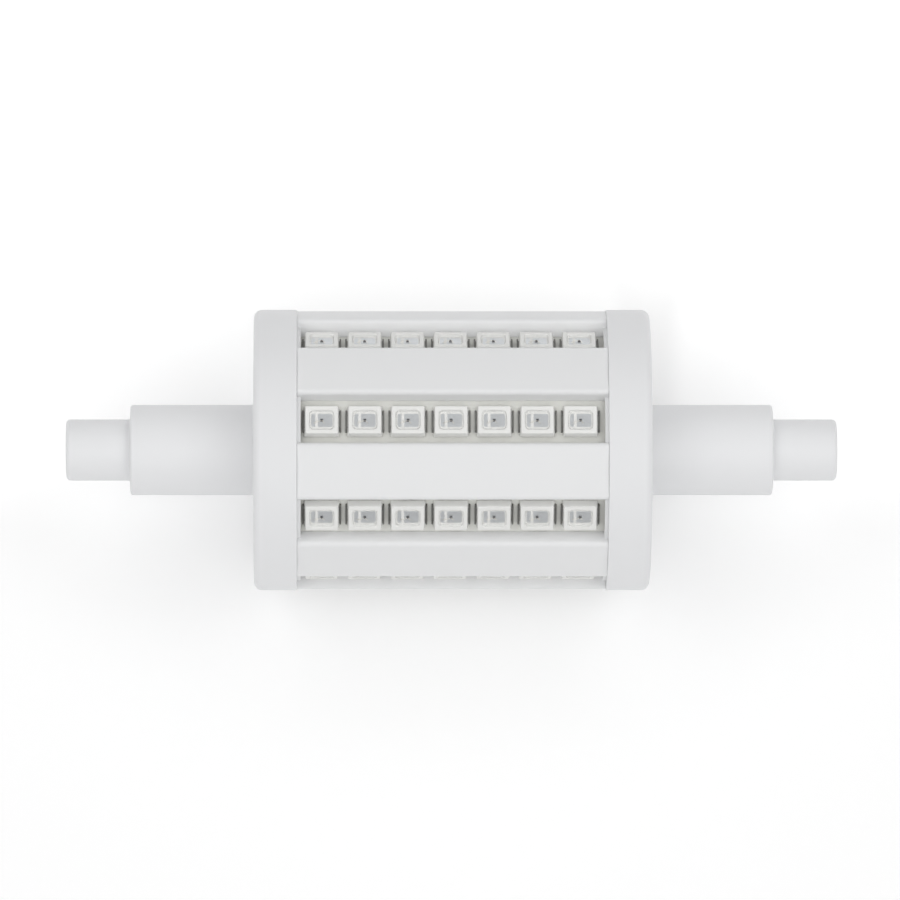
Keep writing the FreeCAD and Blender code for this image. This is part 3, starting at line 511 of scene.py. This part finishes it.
def rowTree():
    # Copies its input along X at a fixed spacing and turns the row about X.
    tree, start, end = geometryTree("lightRow", [
        ("Count", "NodeSocketInt"), ("Spacing", "NodeSocketFloat"), ("Offset", "NodeSocketFloat"),
        ("Height", "NodeSocketFloat"), ("Turn", "NodeSocketFloat"), ("Material", "NodeSocketMaterial")])
    line = addNode(tree, "GeometryNodeMeshLine", mode="OFFSET")
    gap = addNode(tree, "ShaderNodeCombineXYZ")
    gaps = mathNode(tree, "SUBTRACT", start.outputs["Count"], 1.0)
    length = mathNode(tree, "MULTIPLY", gaps, start.outputs["Spacing"])
    first = addNode(tree, "ShaderNodeCombineXYZ")
    copies = addNode(tree, "GeometryNodeInstanceOnPoints")
    realize = addNode(tree, "GeometryNodeRealizeInstances")
    angles = addNode(tree, "ShaderNodeCombineXYZ")
    turned = addNode(tree, "GeometryNodeTransform")
    setMaterial = addNode(tree, "GeometryNodeSetMaterial")
    linkAll(tree,
            (start.outputs["Count"], line.inputs["Count"]), (start.outputs["Spacing"], gap.inputs["X"]),
            (gap.outputs["Vector"], line.inputs["Offset"]),
            (mathNode(tree, "MULTIPLY_ADD", length, -0.5, start.outputs["Offset"]), first.inputs["X"]),
            (start.outputs["Height"], first.inputs["Z"]),
            (first.outputs["Vector"], line.inputs["Start Location"]),
            (line.outputs["Mesh"], copies.inputs["Points"]),
            (start.outputs["Geometry"], copies.inputs["Instance"]),
            (copies.outputs["Instances"], realize.inputs["Geometry"]),
            (realize.outputs["Geometry"], turned.inputs["Geometry"]),
            (start.outputs["Turn"], angles.inputs["X"]),
            (angles.outputs["Vector"], turned.inputs["Rotation"]),
            (turned.outputs["Geometry"], setMaterial.inputs["Geometry"]),
            (start.outputs["Material"], setMaterial.inputs["Material"]),
            (setMaterial.outputs["Geometry"], end.inputs["Geometry"]))
    return tree


def boxRing(length, width, corner, height, steps):
    # One level of a rounded box: points around it, the same number at every level.
    points = []
    for signX, signY, first in ((1, 1, 0), (-1, 1, 90), (-1, -1, 180), (1, -1, 270)):
        for step in range(steps + 1):
            turn = math.radians(first + 90 * step / steps)
            points.append((signX * (length / 2 - corner) + corner * math.cos(turn),
                           signY * (width / 2 - corner) + corner * math.sin(turn), height))
    return points


def packageBlock():
    # Slanted walls, rounded top edge, flat top, rounded cavity edge, slanted cavity wall and floor.
    steps = light["cornerSteps"]
    levels = [boxRing(light["baseLength"], light["baseWidth"], light["corner"], light["base"], steps)]
    for step in range(light["edgeSteps"] + 1):
        turn = math.radians(90 * step / light["edgeSteps"])
        inset = 2 * light["edgeRound"] * (1 - math.cos(turn))
        level = light["top"] - light["edgeRound"] * (1 - math.sin(turn))
        levels.append(boxRing(light["faceLength"] - inset, light["faceWidth"] - inset, light["corner"],
                              level, steps))
    for step in range(light["cavityEdgeSteps"] + 1):
        turn = math.radians(90 * step / light["cavityEdgeSteps"])
        spread = 2 * light["cavityEdge"] * (1 - math.sin(turn))
        level = light["top"] - light["cavityEdge"] * (1 - math.cos(turn))
        levels.append(boxRing(light["cavityLength"] + spread, light["cavityWidth"] + spread,
                              light["cavityRound"], level, steps))
    levels.append(boxRing(light["floorLength"], light["floorWidth"], light["cavityRound"], cavityFloor,
                          steps))
    return stacked(levels)


def padPlates():
    # What shows of the leads on the cavity floor: a narrow pad and a wide one with rounded far corners.
    half, low, high = pad["half"], cavityFloor - terminal["thick"], cavityFloor + pad["rise"]
    plates = []
    for near, far, steps in ((pad["narrowStart"], pad["narrowEnd"], pad["narrowSteps"]),
                             (pad["wideStart"], pad["wideEnd"], pad["wideSteps"])):
        outline = rounded([(far, -half, pad["round"]), (near, -half, pad["nearRound"]),
                           (near, half, pad["nearRound"]), (far, half, pad["round"])], steps)
        plates.append(extruded(outline, low, high, 2))
    return joined(*plates)


def terminalPlates():
    # The bent ends outside the package. Each is a riser with its foot, and a narrower arm into the package.
    reach, thick, level = terminal["reach"], terminal["thick"], terminal["armLevel"]
    inside = reach - terminal["footLength"]
    riser = rounded([(inside, 0, terminal["footEdge"]), (reach, 0, terminal["bendOuter"]),
                     (reach, level, terminal["topOuter"]), (reach - thick, level, terminal["topInner"]),
                     (reach - thick, thick, terminal["bendInner"]), (inside, thick, terminal["footEdge"])],
                    terminal["bendSteps"])
    armEnd, armTop, edge = reach - thick / 2, level - terminal["armDrop"], terminal["armEdge"]
    arm = rounded([(inside, level - thick, edge), (armEnd, level - thick, edge), (armEnd, armTop, edge),
                   (inside, armTop, edge)], terminal["armSteps"])
    right = joined(extruded(riser, -terminal["half"], terminal["half"], 1),
                   extruded(arm, -terminal["armHalf"], terminal["armHalf"], 1))
    left = ([(-x, y, z) for x, y, z in right[0]], right[1])
    return joined(right, left)


def chipBlock():
    side, top, inner = chip["side"], cavityFloor + chip["rise"], chip["side"] - chip["edgeInset"]
    return stacked([boxRing(side, side, chip["corner"], cavityFloor, chip["cornerSteps"]),
                    boxRing(side, side, chip["corner"], top - chip["edgeDrop"], chip["cornerSteps"]),
                    boxRing(inner, inner, chip["corner"], top, chip["cornerSteps"])])


def bondWires():
    # Two hair-thin wires from the chip, one down to each side's pad.
    wires = []
    for side, target in ((-1, bond["endLeft"]), (1, bond["endRight"])):
        start = Vector((bond["startAside"] * side, bond["startBack"], cavityFloor + chip["rise"]))
        finish = Vector((*target, cavityFloor + bond["endRise"]))
        path = []
        for step in range(bond["steps"] + 1):
            share = step / bond["steps"]
            point = start.lerp(finish, share)
            point.z += bond["arch"] * math.sin(math.pi * share)
            path.append(point)
        wires.append(tubeAlong(path, bond["radius"], bond["sides"]))
    return joined(*wires)


def resinBlock():
    # The clear resin that fills the cavity up to a hair below the face.
    gap = lens["wallGap"]
    return stacked([boxRing(light["floorLength"] - gap, light["floorWidth"] - gap, light["cavityRound"],
                            cavityFloor + pad["rise"] + lens["padGap"], light["cornerSteps"]),
                    boxRing(light["cavityLength"] - 2 * gap, light["cavityWidth"] - 2 * gap,
                            light["cavityRound"], light["top"] - gap, light["cornerSteps"])])


rowLayout = rowTree()
blanks = {}
for key, shape, angle in (("packages", packageBlock(), light["smoothAngle"]),
                          ("terminals", terminalPlates(), smoothAngle), ("pads", padPlates(), smoothAngle),
                          ("chips", chipBlock(), smoothAngle), ("bonds", bondWires(), bond["smoothAngle"]),
                          ("resin", resinBlock(), smoothAngle)):
    blanks[key] = meshObject(key + "Blank", *shape, angle)


def boardRow(key, name, finish, board):
    return runTree(blanks[key], rowLayout, f"{name}{board + 1}",
                   {"Count": light["count"], "Spacing": light["pitch"] * mm, "Offset": light["offset"] * mm,
                    "Height": light["boardFace"] * mm, "Turn": board * windowStep,
                    "Material": finishes[finish]})


def wholeSet(key, name, finish, slotName, *nodes):
    # The same small thing on every board, as one piece.
    build = bmesh.new()
    for board in range(windowCount):
        row = boardRow(key, name, finish, board)
        build.from_mesh(row.data)
        bpy.data.objects.remove(row)
    data = bpy.data.meshes.new(name)
    build.to_mesh(data)
    build.free()
    data.materials.append(finishes[finish])
    keep(linkedObject(name, data), slotName, *nodes)


for board in range(windowCount):
    for key, name, finish, slotName, node in (
            ("packages", "lightPackages", "packageWhite", "package_plastic", "light_packages_"),
            ("terminals", "lightTerminals", "leadTin", "lead_metal", "light_leads_"),
            ("resin", "lightResin", "clearResin", "clear_resin", "light_lenses_")):
        keep(boardRow(key, name, finish, board), slotName, f"{node}{board + 1}")
    keep(boardRow("pads", "lightPads", "padSilver", board), "lead_metal")
wholeSet("chips", "lightChips", "dieDark", "chip_crystal", "light_chips")
wholeSet("bonds", "bondWires", "bondGold", "lead_metal")
for blank in blanks.values():
    bpy.data.objects.remove(blank)
print("light packages made")


# Carried-over pieces.

carried = {"core_tube": "coreAluminium", "insulator_sleeve": "sleeveWhite", "driver_board": "driverMask",
           "fuse_resistor": "resistorCement", "bridge_rectifier": "chipBlack", "driver_chip": "chipBlack",
           "flywheel_diode": "chipBlack", "bulk_capacitor": "capacitorFilm",
           "output_capacitor": "capacitorFilm", "inductor_core": "ferriteDark",
           "inductor_winding": "coilCopper"}
for side in ("left", "right"):
    carried[f"link_ring_{side}"] = "linkBoardMask"
    carried[f"solder_{side}"] = "solderBright"
    carried[f"input_wire_{side}"] = "wireCover"
    carried[f"output_link_{side}"] = "solderBright"
for board in range(windowCount):
    carried[f"light_board_{board + 1}"] = "boardMask"
for node, finish in carried.items():
    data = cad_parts[node].data
    data.materials.clear()
    data.materials.append(finishes[finish])
print("carried-over pieces finished", len(carried))


# Floor. It glows a little all over. A painted light adds more glow behind the lamp, and a painted shadow
# leaves that extra glow out in front of the lamp and in a narrow stretch beside the right cap.

ground = {"level": -14.2, "half": 3000.0, "tone": 0.95, "glow": 0.12, "paintedLightGain": 0.11,
          "glowFrom": (-6.0, 4.0), "paintedShadowSide": 20.5, "unlitReach": (1.0, 4.5), "unlitEnd": (14.0, 26.0)}
half, level = ground["half"], ground["level"]
floor = meshObject("floor", [(-half, -half, level), (half, -half, level), (half, half, level),
                             (-half, half, level)], [[0, 1, 2, 3]])
material, tree, shader = newMaterial("paperWhite")
shader.inputs["Base Color"].default_value = gray(ground["tone"])
shader.inputs["Roughness"].default_value = 1.0
shader.inputs["Specular IOR Level"].default_value = 0.0
shader.inputs["Emission Color"].default_value = gray(1.0)
place = addNode(tree, "ShaderNodeTexCoord")
parts = addNode(tree, "ShaderNodeSeparateXYZ")
tree.links.new(place.outputs["Object"], parts.inputs["Vector"])
# The extra glow paints light behind the lamp. Where it fades out, in front of the lamp and in a narrow
# stretch beside the right cap, it paints a shadow.
fromPaintedShadowSide = mathNode(tree, "ABSOLUTE", mathNode(tree, "SUBTRACT", parts.outputs["X"], ground["paintedShadowSide"] * mm))
paintedLightFades = []
for source, key in ((parts.outputs["Y"], "glowFrom"), (fromPaintedShadowSide, "unlitReach"),
                    (parts.outputs["Y"], "unlitEnd")):
    nearEnd, farEnd = ground[key]
    paintedLightFades.append(fadeBetween(tree, source, nearEnd * mm, farEnd * mm))
glow = mathNode(tree, "MULTIPLY", paintedLightFades[0], mathNode(tree, "MAXIMUM", paintedLightFades[1], paintedLightFades[2]))
tree.links.new(mathNode(tree, "MULTIPLY_ADD", glow, ground["paintedLightGain"], ground["glow"]),
               shader.inputs["Emission Strength"])
floor.data.materials.append(material)


# Light: a dim dome with a broad soft box overhead, and a dim spot in it that the pads reflect.

sky = {"dome": 0.28, "softBoxFrom": (0.02, -0.06, 1.0), "softBoxGain": 1.51, "softBoxAngles": (20.0, 65.0),
       "dimSpotFrom": (0.0, 0.232, 0.973), "dimSpotLoss": 0.95, "dimSpotAngles": (10.0, 24.0)}
world = bpy.data.worlds.new("softBox")
scene.world = world
world.use_nodes = True
skyTree = world.node_tree
background = skyTree.nodes["Background"]
direction = addNode(skyTree, "ShaderNodeTexCoord").outputs["Generated"]


def patch(centre, angles, outside, inside):
    # A round patch of the sky: inside up to the first angle off its centre, outside from the second.
    nearness = addNode(skyTree, "ShaderNodeVectorMath", operation="DOT_PRODUCT")
    nearness.inputs[1].default_value = Vector(centre).normalized()
    skyTree.links.new(direction, nearness.inputs[0])
    inner, outer = [math.cos(math.radians(angle)) for angle in angles]
    return fadeBetween(skyTree, nearness.outputs["Value"], outer, inner, outside, inside)


softBox = patch(sky["softBoxFrom"], sky["softBoxAngles"], sky["dome"], sky["dome"] + sky["softBoxGain"])
dimSpot = patch(sky["dimSpotFrom"], sky["dimSpotAngles"], 1.0, 1.0 - sky["dimSpotLoss"])
skyTree.links.new(mathNode(skyTree, "MULTIPLY", softBox, dimSpot), background.inputs["Strength"])
background.inputs["Color"].default_value = gray(1.0)


# Camera: it looks down on the lamp from a little to its left.

viewpoint = {"tilt": 13.4, "left": 13.0, "distance": 1050.0, "lens": 414.5, "sensor": 36.0,
             "aim": (-0.14, 0.0, 0.0), "clip": (10.0, 20000.0)}
camera = bpy.data.cameras.new("camera")
camera.lens = viewpoint["lens"]
camera.sensor_width = viewpoint["sensor"]
camera.clip_start, camera.clip_end = [end * mm for end in viewpoint["clip"]]
cameraObject = linkedObject("camera", camera)
yaw = -math.atan(viewpoint["left"] / viewpoint["distance"])
turned = Matrix.Rotation(math.radians(viewpoint["tilt"]), 3, "X") @ Matrix.Rotation(yaw, 3, "Y")
cameraObject.location = Vector(viewpoint["aim"]) * mm + turned @ Vector((0, 0, viewpoint["distance"] * mm))
cameraObject.rotation_euler = turned.to_euler()
scene.camera = cameraObject

scene.view_settings.view_transform = "Standard"
scene.view_settings.look = "None"
scene.view_settings.exposure = 0.0
scene.view_settings.gamma = 1.0
print("stage, light and camera set")
